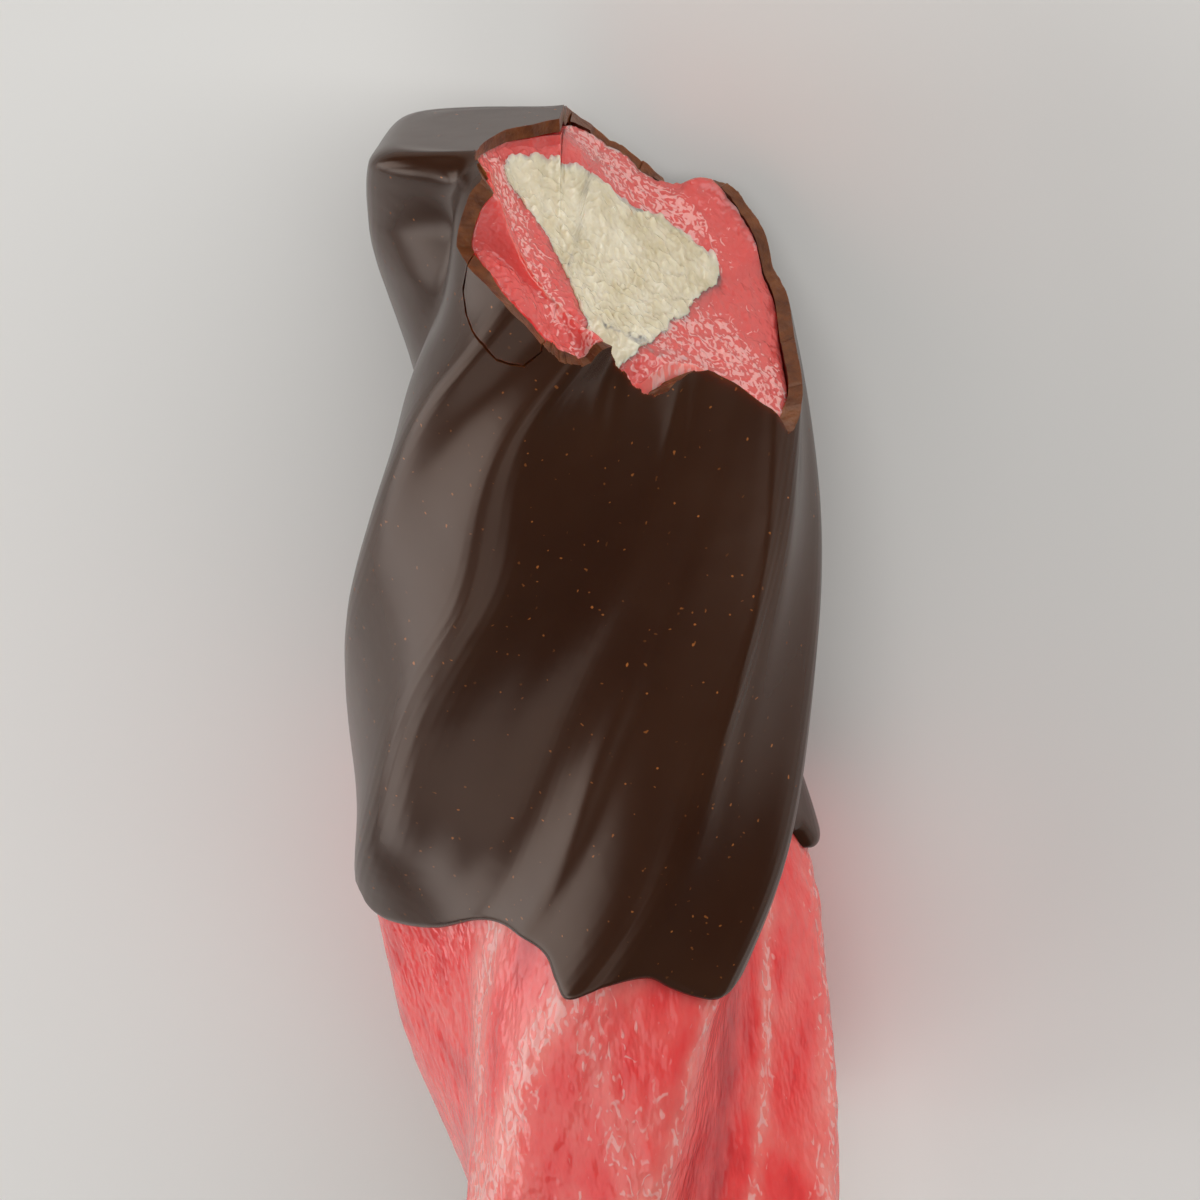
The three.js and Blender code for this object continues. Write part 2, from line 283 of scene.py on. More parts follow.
def carve(piece, cutter, how="DIFFERENCE", keepCutter=False):  # a cut face takes the cutter's material
    change = piece.modifiers.new("carve", "BOOLEAN")
    change.operation = how
    change.solver = "MANIFOLD"
    change.object = cutter
    for material in cutter.data.materials:
        if material.name not in piece.data.materials:
            piece.data.materials.append(material)
    bpy.context.view_layer.update()
    carved = bpy.data.meshes.new_from_object(piece.evaluated_get(bpy.context.evaluated_depsgraph_get()))
    piece.modifiers.clear()
    carved.name = piece.name
    piece.data = carved
    if not keepCutter:
        bpy.data.objects.remove(cutter)


def meshPoints(piece):
    where = np.zeros(3 * len(piece.data.vertices))
    piece.data.vertices.foreach_get("co", where)
    return where.reshape(-1, 3)


def hexColour(code):  # sRGB hex to linear
    parts = [int(code[i:i + 2], 16) / 255 for i in (1, 3, 5)]
    return (*[c / 12.92 if c <= 0.04045 else ((c + 0.055) / 1.055) ** 2.4 for c in parts], 1)


def newMaterial(name, shaderValues):  # what is the same all over goes straight on the shader's sockets
    material = bpy.data.materials.new(name)
    material.use_nodes = True
    shader = material.node_tree.nodes["Principled BSDF"]
    for socket, value in shaderValues.items():
        shader.inputs[socket].default_value = value
    return material, shader


def add(material, kind, settings=None, stops=None, **links):
    # a node with its settings, its ramp's stops, and its sockets set or linked by name or by number
    node = material.node_tree.nodes.new(kind)
    for key, value in (settings or {}).items():
        setattr(node, key, value)
    for i, (position, colour) in enumerate(stops or []):
        stop = node.color_ramp.elements[i] if i < 2 else node.color_ramp.elements.new(position)
        stop.position = position
        stop.color = hexColour(colour)
    for key, value in links.items():
        number = key[1:]
        socket = node.inputs[int(number) if number.isdigit() else key.replace("_", " ")]
        if isinstance(value, bpy.types.NodeSocket):
            material.node_tree.links.new(value, socket)
        else:
            socket.default_value = value
    return node


def link(material, source, socket):
    material.node_tree.links.new(source, socket)


# Dark couverture chocolate, set by a cold dip: a satin skin with warm soft sheens and fine cocoa specks.
# Sizes are in mm. Real specks are about 0.1 mm across, so they are drawn coarser to show
chocolateLook = {
    "tones": [(0.35, "#341b0f"), (0.7, "#3c2316")],
    "clouds": 14,
    "speck": "#a8632f",
    "speckSpacing": 0.95,
    "speckEdge": (0.15, 0.09),  # from faint to full, in shares of the spacing
    "speckRare": 0.45,  # share of the specks left out
    "bends": 0.7,  # these curve the specks
    "bendBy": 0.7,
    "waves": 5,
    "waveHeight": 0.3,
    "relief": 0.2,
    "shader": {
        "Roughness": 0.27,
        "IOR": 1.46,
        "Specular Tint": hexColour("#ffe7d6"),
        "Subsurface Weight": 0.2,
        "Subsurface Radius": (1.0, 0.35, 0.12),
        "Subsurface Scale": 1.2 * mm,
    },
}


def dippedChocolate():
    look = chocolateLook
    material, shader = newMaterial("dipped_dark_chocolate", look["shader"])
    where = add(material, "ShaderNodeTexCoord").outputs["Object"]
    cloud = add(material, "ShaderNodeTexNoise", Vector=where, Scale=1 / (look["clouds"] * mm), Detail=3.0)
    base = add(material, "ShaderNodeValToRGB", stops=look["tones"], Fac=cloud.outputs["Fac"])
    bend = add(material, "ShaderNodeTexNoise", Vector=where, Scale=1 / (look["bends"] * mm), Detail=1.0)
    bent = add(material, "ShaderNodeMix", {"data_type": "VECTOR"}, Factor=look["bendBy"] * mm, i4=where,
               i5=bend.outputs["Color"])
    cells = add(material, "ShaderNodeTexVoronoi", Vector=bent.outputs[1],
                Scale=1 / (look["speckSpacing"] * mm))
    faint, full = look["speckEdge"]
    spot = add(material, "ShaderNodeMapRange", Value=cells.outputs["Distance"], From_Min=faint,
               From_Max=full)
    rare = add(material, "ShaderNodeSeparateColor", Color=cells.outputs["Color"])
    some = add(material, "ShaderNodeMapRange", Value=rare.outputs[0], From_Min=look["speckRare"],
               From_Max=1.0)
    speck = add(material, "ShaderNodeMath", {"operation": "MULTIPLY"}, i0=spot.outputs[0],
                i1=some.outputs[0])
    colour = add(material, "ShaderNodeMix", {"data_type": "RGBA"}, i0=speck.outputs[0], i6=base.outputs[0],
                 i7=hexColour(look["speck"]))
    link(material, colour.outputs[2], shader.inputs["Base Color"])
    wave = add(material, "ShaderNodeTexNoise", Vector=where, Scale=1 / (look["waves"] * mm), Detail=2.0)
    bump = add(material, "ShaderNodeBump", Strength=look["relief"], Distance=look["waveHeight"] * mm,
               Height=wave.outputs["Fac"])
    link(material, bump.outputs[0], shader.inputs["Normal"])
    return material


# The same chocolate where it has snapped: paler brown and duller, with a fine grain across the break that
# is drawn coarser than its real 0.03 mm. Sizes are in mm
snappedLook = {
    "tones": [(0.3, "#4d2614"), (0.7, "#754526")],
    "clouds": 1.2,
    "grains": 0.35,
    "grainHeight": 0.2,
    "relief": 0.5,
    "shader": {
        "Roughness": 0.4,
        "IOR": 1.46,
        "Specular Tint": hexColour("#ffe7d6"),
        "Subsurface Weight": 0.3,
        "Subsurface Radius": (1.0, 0.35, 0.12),
        "Subsurface Scale": 0.9 * mm,
    },
}


def snappedChocolate():
    look = snappedLook
    material, shader = newMaterial("snapped_dark_chocolate", look["shader"])
    where = add(material, "ShaderNodeTexCoord").outputs["Object"]
    cloud = add(material, "ShaderNodeTexNoise", Vector=where, Scale=1 / (look["clouds"] * mm), Detail=4.0)
    base = add(material, "ShaderNodeValToRGB", stops=look["tones"], Fac=cloud.outputs["Fac"])
    link(material, base.outputs[0], shader.inputs["Base Color"])
    fine = add(material, "ShaderNodeTexNoise", Vector=where, Scale=1 / (look["grains"] * mm), Detail=3.0)
    bump = add(material, "ShaderNodeBump", Strength=look["relief"], Distance=look["grainHeight"] * mm,
               Height=fine.outputs["Fac"])
    link(material, bump.outputs[0], shader.inputs["Normal"])
    return material


# Strawberry fruit ice, moulded outside and bitten through inside: translucent pink, wet and glossy over fine
# bumps, with pale frost and short curled ice crystals. Outside, painted highlight paints bands paler and
# painted shade deepens the red in the valleys, through the same mask as the frost. Real crystals are 0.1 to
# 0.3 mm long, so they are drawn coarser to show. Sizes are in mm
iceLook = {
    "moulded": {
        "tones": [(0.1, "#c92f35"), (0.42, "#f25352"), (0.95, "#f68f86")],
        "stretch": 2.6,  # how far the mould has drawn its pattern out along the bar
        "soft": 0.1,
    },
    "bitten": {
        "tones": [(0.1, "#d65d5a"), (0.42, "#d75b57"), (0.95, "#d8625d")],
        "stretch": 1.0,
        "soft": 0.09,
    },
    "clouds": 3.0,
    "paling": 0.4,  # how far frost and painted highlight pale the ice, and painted shade deepens it
    # the colour of frost and crystals, and of the painted highlight bands
    "frostAndPaintedLight": "#f6c4be",
    "crystals": 0.8,
    "crystalCurl": 1.6,
    "crystalShare": 0.6,  # how far a crystal takes the frost's colour
    "crystalsFrom": 0.76,
    "crystalSpread": 0.3,  # how far frost and painted highlight add crystals
    "crystalRise": 0.3,
    "bumps": 0.6,
    "bumpHeight": 0.4,
    "relief": 0.45,
    "shader": {
        "Roughness": 0.13,
        "IOR": 1.35,
        "Specular IOR Level": 0.9,
        "Subsurface Weight": 1.0,
        "Subsurface Radius": (1.0, 0.35, 0.28),
        "Subsurface Scale": 1.6 * mm,
    },
}


def strawberryIce(side):
    look, own = iceLook, iceLook[side]
    material, shader = newMaterial("strawberry_ice_" + side, look["shader"])
    coordinates = add(material, "ShaderNodeTexCoord").outputs["Object"]
    stretched = add(material, "ShaderNodeMapping", Vector=coordinates, Scale=(1, 1 / own["stretch"], 1))
    where = stretched.outputs[0]
    # frost mask with painted light: painted highlight pales bands, painted shade deepens the valleys' red
    frostAndPaintedLight = add(material, "ShaderNodeAttribute", {"attribute_name": "frostAndPaintedLight"}).outputs["Fac"]
    cloud = add(material, "ShaderNodeTexNoise", Vector=where, Scale=1 / (look["clouds"] * mm), Detail=3.0)
    tone = add(material, "ShaderNodeMath", {"operation": "MULTIPLY_ADD"}, i0=frostAndPaintedLight, i1=look["paling"],
               i2=cloud.outputs["Fac"])
    base = add(material, "ShaderNodeValToRGB", stops=own["tones"], Fac=tone.outputs[0])
    curls = add(material, "ShaderNodeTexNoise", Vector=where, Scale=1 / (look["crystals"] * mm), Detail=0.5,
                Distortion=look["crystalCurl"])
    spread = add(material, "ShaderNodeMath", {"operation": "MULTIPLY_ADD"}, i0=frostAndPaintedLight,
                 i1=look["crystalSpread"], i2=curls.outputs["Fac"])
    crystals = add(material, "ShaderNodeMapRange", Value=spread.outputs[0], From_Min=look["crystalsFrom"],
                   From_Max=look["crystalsFrom"] + own["soft"], To_Max=look["crystalShare"])
    colour = add(material, "ShaderNodeMix", {"data_type": "RGBA"}, i0=crystals.outputs[0],
                 i6=base.outputs[0], i7=hexColour(look["frostAndPaintedLight"]))
    link(material, colour.outputs[2], shader.inputs["Base Color"])
    fine = add(material, "ShaderNodeTexNoise", Vector=where, Scale=1 / (look["bumps"] * mm), Detail=1.0)
    raised = add(material, "ShaderNodeMath", {"operation": "MULTIPLY_ADD"}, i0=crystals.outputs[0],
                 i1=look["crystalRise"], i2=fine.outputs["Fac"])
    bump = add(material, "ShaderNodeBump", Strength=look["relief"], Distance=look["bumpHeight"] * mm,
               Height=raised.outputs[0])
    link(material, bump.outputs[0], shader.inputs["Normal"])
    return material


# Vanilla ice cream, frozen with a little air: off-white and translucent, with glossy grains that are drawn
# coarser than their real 0.05 mm. Sizes are in mm
creamLook = {
    "tones": [(0.3, "#cabd9d"), (0.7, "#e1d8c1")],
    "clouds": 2.5,
    "grains": 0.5,
    "grainHeight": 0.12,
    "relief": 0.8,
    "shader": {
        "Roughness": 0.12,
        "IOR": 1.35,
        "Specular IOR Level": 0.9,
        "Subsurface Weight": 1.0,
        "Subsurface Radius": (1.0, 0.9, 0.75),
        "Subsurface Scale": 1.1 * mm,
    },
}


def vanillaIce():
    look = creamLook
    material, shader = newMaterial("vanilla_ice_cream", look["shader"])
    where = add(material, "ShaderNodeTexCoord").outputs["Object"]
    cloud = add(material, "ShaderNodeTexNoise", Vector=where, Scale=1 / (look["clouds"] * mm), Detail=3.0)
    base = add(material, "ShaderNodeValToRGB", stops=look["tones"], Fac=cloud.outputs["Fac"])
    link(material, base.outputs[0], shader.inputs["Base Color"])
    grains = add(material, "ShaderNodeTexVoronoi", {"feature": "SMOOTH_F1"}, Vector=where,
                 Scale=1 / (look["grains"] * mm), Smoothness=0.5)
    bump = add(material, "ShaderNodeBump", {"invert": True}, Strength=look["relief"],
               Distance=look["grainHeight"] * mm, Height=grains.outputs["Distance"])
    link(material, bump.outputs[0], shader.inputs["Normal"])
    return material


# Birch, cut and tumbled: pale and matt, with a fine straight grain. Its real fibres are under 0.1 mm wide,
# so they are drawn coarser to show. Sizes are in mm
birchLook = {
    "tones": [(0.3, "#cfae7d"), (0.7, "#e6cda2")],
    "fibres": 0.7,
    "stretch": 0.06,
    "fibreHeight": 0.1,
    "relief": 0.4,
    "shader": {"Roughness": 0.6},
}


def birchWood():
    look = birchLook
    material, shader = newMaterial("birch", look["shader"])
    where = add(material, "ShaderNodeTexCoord").outputs["Object"]
    stretched = add(material, "ShaderNodeMapping", Vector=where, Scale=(1.0, look["stretch"], 1.0))
    fibres = add(material, "ShaderNodeTexNoise", Vector=stretched.outputs[0],
                 Scale=1 / (look["fibres"] * mm), Detail=4.0)
    base = add(material, "ShaderNodeValToRGB", stops=look["tones"], Fac=fibres.outputs["Fac"])
    link(material, base.outputs[0], shader.inputs["Base Color"])
    bump = add(material, "ShaderNodeBump", Strength=look["relief"], Distance=look["fibreHeight"] * mm,
               Height=fibres.outputs["Fac"])
    link(material, bump.outputs[0], shader.inputs["Normal"])
    return material


chocolateSkin, chocolateBreak = dippedChocolate(), snappedChocolate()
iceSkin, iceBreak = strawberryIce("moulded"), strawberryIce("bitten")
vanilla, birch = vanillaIce(), birchWood()
print("stage: materials made")

# The bite. Its edge runs round from the right: (angle, height) on the sides, and (x, y) where it crosses the
# end. An azimuth is an angle about the bite's centre, seen from above
bite = {
    "centre": (-1, -13),
    "bowlCentre": (4.5, -1.5),
    "bowlReach": 17,
    "bowl": 2.2,
    "height": 72.4,
    "slopeX": -0.8,
    "slopeY": 0.22,
    "swellAt": (0.2, 4.7),  # the ice rises to the corner at the back
    "swellReach": 3.0,
    "swell": 2.9,
    "ridgeFrom": (-5.4, -4.5),  # the soft ridge left of the core, and the trough on its left
    "ridgeTo": (2.6, -16.5),
    "troughAt": 2.2,
    "troughWidth": 1.5,
    "trough": 0.7,
    "rightAndBack": [
        (96.5, 53.2), (98.5, 53.3), (100.5, 54.0), (102.5, 54.7), (105, 55.3), (108, 55.8),
        (111, 56.2), (115, 56.6), (118, 57.0), (121, 57.2), (121.3, 56.9), (125.5, 57.3), (126, 57.8),
        (128, 58.1), (131, 58.3), (134, 58.7), (137, 59.3), (139.4, 59.9), (139.1, 60.5),
        (138.4, 61.1), (137.5, 62.0), (136.7, 62.6), (136.7, 63.2), (137.9, 63.8), (139.2, 64.5),
        (140.0, 65.5), (142.4, 66.3), (143.0, 66.5), (145.1, 66.7), (147.3, 66.8), (149.8, 66.6),
        (151.2, 66.3), (153.1, 66.1), (155.1, 66.2), (157.3, 66.9), (158.6, 67.6), (159.1, 68.2),
        (160.0, 68.5), (160.4, 69.0), (162.4, 70.0), (164.1, 70.7), (165.4, 70.9), (165.8, 71.2),
        (166.3, 71.6), (168.3, 72.6), (170.4, 73.3), (171.5, 74.1), (172.4, 75.0)],
    "end": [
        (-0.2, 7.8), (-0.3, 4.1), (-1.5, 3.4), (-2.7, 2.2), (-3.9, 1.5), (-4.9, 0.7), (-5.8, -1.3),
        (-6.6, -3.4), (-7.0, -5.5), (-7.2, -7.6), (-7.3, -8.2), (-7.1, -9.0)],
    "leftAndFront": [
        (286.7, 80.2), (292.2, 80.2), (295.2, 80.1), (295.6, 79.8), (295.1, 79.1), (295.2, 78.7),
        (295.8, 77.8), (296.2, 77.0), (298.1, 75.8), (300.5, 74.9), (303.1, 74.2), (307.7, 73.9),
        (312.4, 73.4), (322.4, 72.6), (331.1, 71.6), (340.7, 69.9), (349.3, 68.1), (352.1, 67.7),
        (357.1, 66.9), (1.4, 66.5), (5.0, 66.1), (6.6, 66.3), (7.4, 67.3), (10.8, 67.1), (13.0, 66.1),
        (16.0, 65.3), (23.2, 63.7), (31.8, 61.8), (40.6, 60.5), (47.6, 60.1), (49.8, 60.7),
        (54.1, 60.8), (57.7, 61.1), (64.2, 60.8), (66.2, 60.1), (70.2, 59.4), (74.7, 59.1),
        (78.4, 58.1), (84.1, 56.6), (87.6, 55.7), (89.9, 55.2), (92.0, 54.4), (94.3, 53.9)],
    "edgeStep": 0.25,  # least azimuth from point to point of the edge
    "acrossEnd": (87.7, 141),  # azimuths where the edge crosses the end
    "wall": 3.2,  # depth to which the end is cut straight down
    # by the azimuth: how steeply the broken face rises outwards, how far the ice lies below the chocolate's
    # inner edge, the mm over which that rise of the ice dies away, and how far out the cut goes
    "faceRise": [
        (15.1, 0.3), (17.5, 0), (59.8, 0), (64.6, -0.3), (70.2, -0.3), (74.1, 0), (87.7, 0), (139, 0),
        (142, 1.5), (166, 1.4), (168.3, 0.1), (194.1, 0.1), (205.8, 0.45), (247.3, 0.45),
        (266.1, -0.2), (288.5, -0.35), (300.8, -0.1), (307.4, -0.3), (317.1, -0.3), (331.6, 0.4),
        (348.3, 0.45)],
    "iceBelow": [
        (15, 0.1), (18.1, 0.9), (47.1, 0.8), (51.8, 0.5), (59.8, 0.3), (64.6, -0.05), (70.2, -0.15),
        (74.1, 0.15), (85.9, 0.2), (87.6, 0.5), (87.9, 2.4), (88.1, 3.3), (93.8, 3.4), (100.1, 2.7),
        (109.2, 2.4), (119.9, 2.2), (136, 2.2), (141, 0.3), (166, 0.1), (168.5, 0.3), (194, 0.3),
        (251.7, 0.15), (284.3, 0.1), (319.1, -0.1), (348.3, -0.2)],
    "iceFall": [
        (15, 2.8), (86, 2.6), (88.3, 2.4), (139, 2.2), (142, 1), (168, 1.6), (200, 2)],
    "cutOut": [
        (15, 12), (86.6, 12), (87.7, 0), (139, 0), (142, 0.15), (167, 0.15), (168.2, 12), (352, 12)],
    "lipOut": 0.5,  # past the edge the cut first goes this far out, then as far as cutOut says
    "lipUp": (0.02, 0.5),
    "ceiling": 100,
    "closeAzimuths": [(86, 89, 0.1), (165, 172, 0.08)],  # where the wall runs out from the centre
    "evenRings": 144,
    "outerRings": 24,
    "innermost": 0.02,  # the first even ring, as a share of the last
    "evenShare": 0.93,  # how far towards the edge the even rings go
    "evenOver": 6,  # degrees
}


def fromCentre(azimuth, out):  # x and y at a distance from the bite's centre
    turn = np.radians(azimuth)
    return bite["centre"][0] + out * np.cos(turn), bite["centre"][1] + out * np.sin(turn)


def biteEdge():  # by the azimuth, how far out the edge is and how high
    sides = [np.array(bite[part], float) for part in ("rightAndBack", "leftAndFront")]
    sides = [place(part[:, 0], skinRadius(part[:, 0], part[:, 1]), part[:, 1]) for part in sides]
    end = np.array(bite["end"], float)
    end = np.column_stack([end, bar["endHeight"] - bar["endFall"] * end[:, 1]])
    edge = np.vstack([sides[0], end, sides[1]])
    away = edge[:, :2] - np.array(bite["centre"])
    azimuth = np.degrees(np.unwrap(np.arctan2(away[:, 1], away[:, 0])))
    for i in range(1, len(azimuth)):
        azimuth[i] = max(azimuth[i], azimuth[i - 1] + bite["edgeStep"])
    values = np.column_stack([np.hypot(away[:, 0], away[:, 1]), edge[:, 2]])
    return np.concatenate([azimuth, azimuth[:1] + 360]), np.vstack([values, values[:1]])


edgeAzimuth, edgeValues = biteEdge()
closeAzimuths = np.concatenate([np.arange(*span) for span in bite["closeAzimuths"]])


def atAzimuth(name, azimuth):
    stations = np.array(bite[name] + [(360 + bite[name][0][0], bite[name][0][1])], float)
    return np.interp(np.mod(azimuth, 360), stations[:, 0], stations[:, 1])


def onEnd(azimuth):  # 1 where the bite's edge crosses the flat end
    first, last = bite["acrossEnd"]
    return ((azimuth > first) & (azimuth < last)).astype(float)


def bitePlain(x, y):  # the bowl that the teeth left in the ice
    away = np.hypot(x - bite["bowlCentre"][0], y - bite["bowlCentre"][1]) / bite["bowlReach"]
    plane = bite["height"] + bite["slopeX"] * x + bite["slopeY"] * y
    swellX, swellY = bite["swellAt"]
    swollen = np.exp(-((x - swellX) ** 2 + (y - swellY) ** 2) / (2 * bite["swellReach"] ** 2))
    return plane - bite["bowl"] * np.maximum(0, 1 - away**2) + bite["swell"] * swollen


def biteCutter(name, azimuth, distances, heightAt, material):  # rings out to the edge, past it and up
    turned = edgeAzimuth[0] + np.mod(azimuth - edgeAzimuth[0], 360)
    reach, height = [np.interp(turned, edgeAzimuth, edgeValues[:, k]) for k in (0, 1)]

    def ring(out, z):
        return np.stack([*fromCentre(azimuth, out), z], -1)

    rings = [ring(out, heightAt(azimuth, out, reach, height)) for out in distances(reach)]
    low = rings[-1][:, 2]
    cut = atAzimuth("cutOut", azimuth)
    lip = np.minimum(cut, bite["lipOut"])
    for out, up in zip((reach + lip, reach + cut), bite["lipUp"]):
        rings.append(ring(out, low + up + lip * atAzimuth("faceRise", azimuth)))
    rings.append(ring(reach + cut, np.full(len(azimuth), float(bite["ceiling"]))))
    return ringSolid(name, np.array(rings), material)


# The chocolate cover. Its rim is (angle, height), and its lip is rounded in at the rim
cover = {
    "around": 540,
    "rows": 170,
    "insideAround": 360,
    "insideRows": 120,
    "rim": [
        (-21, 5.2), (-12, 7.1), (4, 5.6), (20, 4.8), (24.5, 3.0), (30, 2.6), (44, 4.4), (56.5, 7.2),
        (67.5, 8.4), (79, 8.4), (86, 8.0), (92.5, 6.4), (98, 5.2), (104, 6.6), (114, 6.8),
        (123.5, 5.2), (131.5, 4.0), (140, 3.2), (146.5, 4.4), (164, 5.0), (176, 7.2), (192, 8.5),
        (206, 6.4), (213, 3.8), (222, 3.2), (240, 4.6), (256, 6.6), (262, 3.4), (268, 3.2), (284, 5.0),
        (298, 7.6), (312, 8.5), (326, 8.0)],
    "lipDrop": 1.0,
    "lipInset": 0.8,
    "lipRings": 7,
    "roundRings": 12,
    "endRings": 13,
    "endHub": 0.1,  # share of the radius at the innermost ring
    "cutAround": 1080,
    "cutShares": (0.1, 0.3),
    "cutDepth": 3.2,
    "cutRings": 17,
}
rimHeight = smoothStations(cover["rim"], 360)


def coverRings(radiusAt, lowAt, lowerEnd, around, rows, lip):
    angles = evenly(around)
    topOf = endHeight(angles, radiusAt(angles, bar["endHeight"])) - lowerEnd
    low = lowAt(angles)
    rings = []
    if lip:
        for t in np.linspace(0, 1, cover["lipRings"] + 1)[:-1] * pi / 2:
            inset = cover["lipInset"] * (1 - np.sin(t))
            height = low + cover["lipDrop"] * (1 - np.cos(t))
            rings.append(place(angles, radiusAt(angles, height) - inset, height))
        low = low + cover["lipDrop"]
    rounding = endRounding(angles)
    for part in np.linspace(0, 1, rows):
        height = low + (topOf - rounding - low) * part
        rings.append(place(angles, radiusAt(angles, height), height))
    for t in np.radians(np.linspace(0, 90, cover["roundRings"] + 1)[1:]):
        height = topOf - rounding * (1 - np.sin(t))
        rings.append(place(angles, radiusAt(angles, height) - rounding * (1 - np.cos(t)), height))
    for share in np.linspace(1, cover["endHub"], cover["endRings"] + 1)[1:]:
        radius = share * (radiusAt(angles, topOf) - rounding)
        rings.append(place(angles, radius, endHeight(angles, radius) - lowerEnd))
    return np.array(rings)


def insideRadius(angle, height):
    return barRadius(angle, height) - bar["chocolate"]


def footHeight(angles):
    return np.full(len(angles), float(bar["foot"]))


outsideRings = coverRings(barRadius, rimHeight, 0, cover["around"], cover["rows"], True)
insideRings = coverRings(insideRadius, footHeight, bar["chocolate"], cover["insideAround"],
                         cover["insideRows"], False)
coverPiece = ringSolid("chocolate_cover", outsideRings, chocolateSkin)
carve(coverPiece, ringSolid("inside", insideRings, chocolateSkin))

# The snapped face: blocks, grain and the plates at the back, each (mm along the edge, mm up)
snap = {
    "blocks": (1.3, 0.16),
    "grain": (0.45, 0.1),
    "grainInwards": 0.9,
    "plates": (2.6, 0.5),
    "platesAt": (72.5, 87.2),  # azimuths
    "plateLean": 0.25,
    "sunk": 0.1,
    "deepest": 4,
    "degrees": 57.3,  # in a radian
}


def blocksAlong(line, width, seed):
    return np.array([noise.cell((float(v) / width, seed, 0)) for v in line])


def coverBreak(azimuth, out, reach, height):  # straight through the chocolate, a little stepped
    inside = np.minimum(reach - out, snap["deepest"])
    line = azimuth / snap["degrees"] * reach
    width, rise = snap["blocks"]
    steps = blocksAlong(line, width, 3.5) * rise
    width, rise = snap["grain"]
    grains = [(float(v) / width, 7.5, float(w) / snap["grainInwards"]) for v, w in zip(line, inside)]
    steps += np.array([noise.noise(g) for g in grains]) * rise
    width, rise = snap["plates"]
    first, last = snap["platesAt"]
    back = ((azimuth > first) & (azimuth < last)) * 1.0
    plates = blocksAlong(line, width, 9.5) * rise * back
    plain = height - atAzimuth("faceRise", azimuth) * inside - onEnd(azimuth) * bite["wall"]
    return plain + steps - snap["sunk"] + (plates - snap["plateLean"] * back) * inside


def coverDistances(reach):
    inner = [reach * share for share in cover["cutShares"]]
    return inner + [reach - depth for depth in np.linspace(cover["cutDepth"], 0, cover["cutRings"])]


coverAzimuths = np.union1d(evenly(cover["cutAround"]), closeAzimuths)
carve(coverPiece, biteCutter("coverBite", coverAzimuths, coverDistances, coverBreak, chocolateBreak))
print("stage: chocolate cover", len(coverPiece.data.polygons))

# The cracked chip under the bite: its outline as (angle, height), and how wide the crack is at each point
chip = {
    "outline": [
        (310.5, 76.5), (312.9, 73.4), (318.1, 70.9), (324.7, 69.3), (330, 68.5), (335.8, 67.8),
        (341.8, 66.5), (345.9, 66.1), (349.7, 66.0), (350.5, 66.7), (351.2, 67.3), (348.8, 68.4),
        (346, 76)],
    "gaps": [0.08, 0.16, 0.32, 0.4, 0.4, 0.38, 0.36, 0.32, 0.24, 0.14, 0.08, 0.08, 0.08],
    "outwards": (-0.5, -0.85, 0.15),
    "lift": 0.15,  # how far it stands out of the cover
    "depth": 3.5,
}


def chipPlug(name, gap, material):  # runs through the cover, wider than the chip by the gap
    corners = np.array(chip["outline"], float)
    points = place(corners[:, 0], barRadius(corners[:, 0], corners[:, 1]), corners[:, 1])
    middle = points.mean(axis=0)
    outwards = np.array([middle[0], middle[1], 0]) / np.hypot(middle[0], middle[1])
    aside = points - middle
    aside -= np.outer(aside @ outwards, outwards)
    length = np.linalg.norm(aside, axis=1, keepdims=True)
    aside *= (length + np.asarray(gap).reshape(-1, 1)) / length
    low, high = middle + aside - chip["depth"] * outwards, middle + aside + chip["depth"] * outwards
    return ringSolid(name, np.stack([low, high]), material)


chipPiece = coverPiece.copy()
chipPiece.data = coverPiece.data.copy()
chipPiece.name = "chocolate_chip_piece"
bpy.context.scene.collection.objects.link(chipPiece)
carve(coverPiece, chipPlug("chipHole", chip["gaps"], chocolateBreak))
carve(chipPiece, chipPlug("chipShape", 0.0, chocolateBreak), "INTERSECT")
lift = layDown @ np.array(chip["outwards"]) * chip["lift"] * mm
chipPiece.data.transform(Matrix.Translation(Vector(lift.tolist())))
print("stage: chip", len(chipPiece.data.polygons))

# The vanilla core: its outline as (angle, radius). Bumps are (mm high, size in mm, seed)
core = {
    "outline": [
        (11, 15), (21, 14.3), (33, 12.3), (45, 10.5), (60, 9.4), (72, 8.6), (90, 9.1), (100, 9.2),
        (112, 10.1), (121, 11.5), (129.5, 13.1), (137, 10.9), (141, 10.0), (145, 8.7), (149, 5.9),
        (155, 5.1), (164.5, 4.4), (187, 3.5), (198, 3.5), (211, 3.75), (231, 4.6), (251, 6.4),
        (261, 7.0), (268, 7.4), (275, 7.4), (284.5, 6.2), (306, 5.6), (324, 5.9), (336, 6.8),
        (350, 8.6), (360, 11.6)],
    "rounding": 1.6,
    "around": 540,
    "top": 82,
    "fineFrom": 54,
    "coarseStep": 2.0,
    "fineStep": 0.3,
    "bumps": [(0.3, 0.9, 5), (0.15, 0.35, 6)],
}
coreOutline = roundedOutline(core["outline"], 360, core["rounding"])


def coreRings():
    angles = evenly(core["around"])[None, :]
    coarse = np.arange(bar["foot"], core["fineFrom"], core["coarseStep"])
    fine = np.arange(core["fineFrom"], core["top"], core["fineStep"])
    heights = np.concatenate([coarse, fine])[:, None]
    radius = coreOutline(angles[0])[None, :]
    rings = place(angles, radius, heights)
    bumps = sum(high * grain(rings, size, seed) for high, size, seed in core["bumps"])
    return place(angles, radius + bumps, heights)
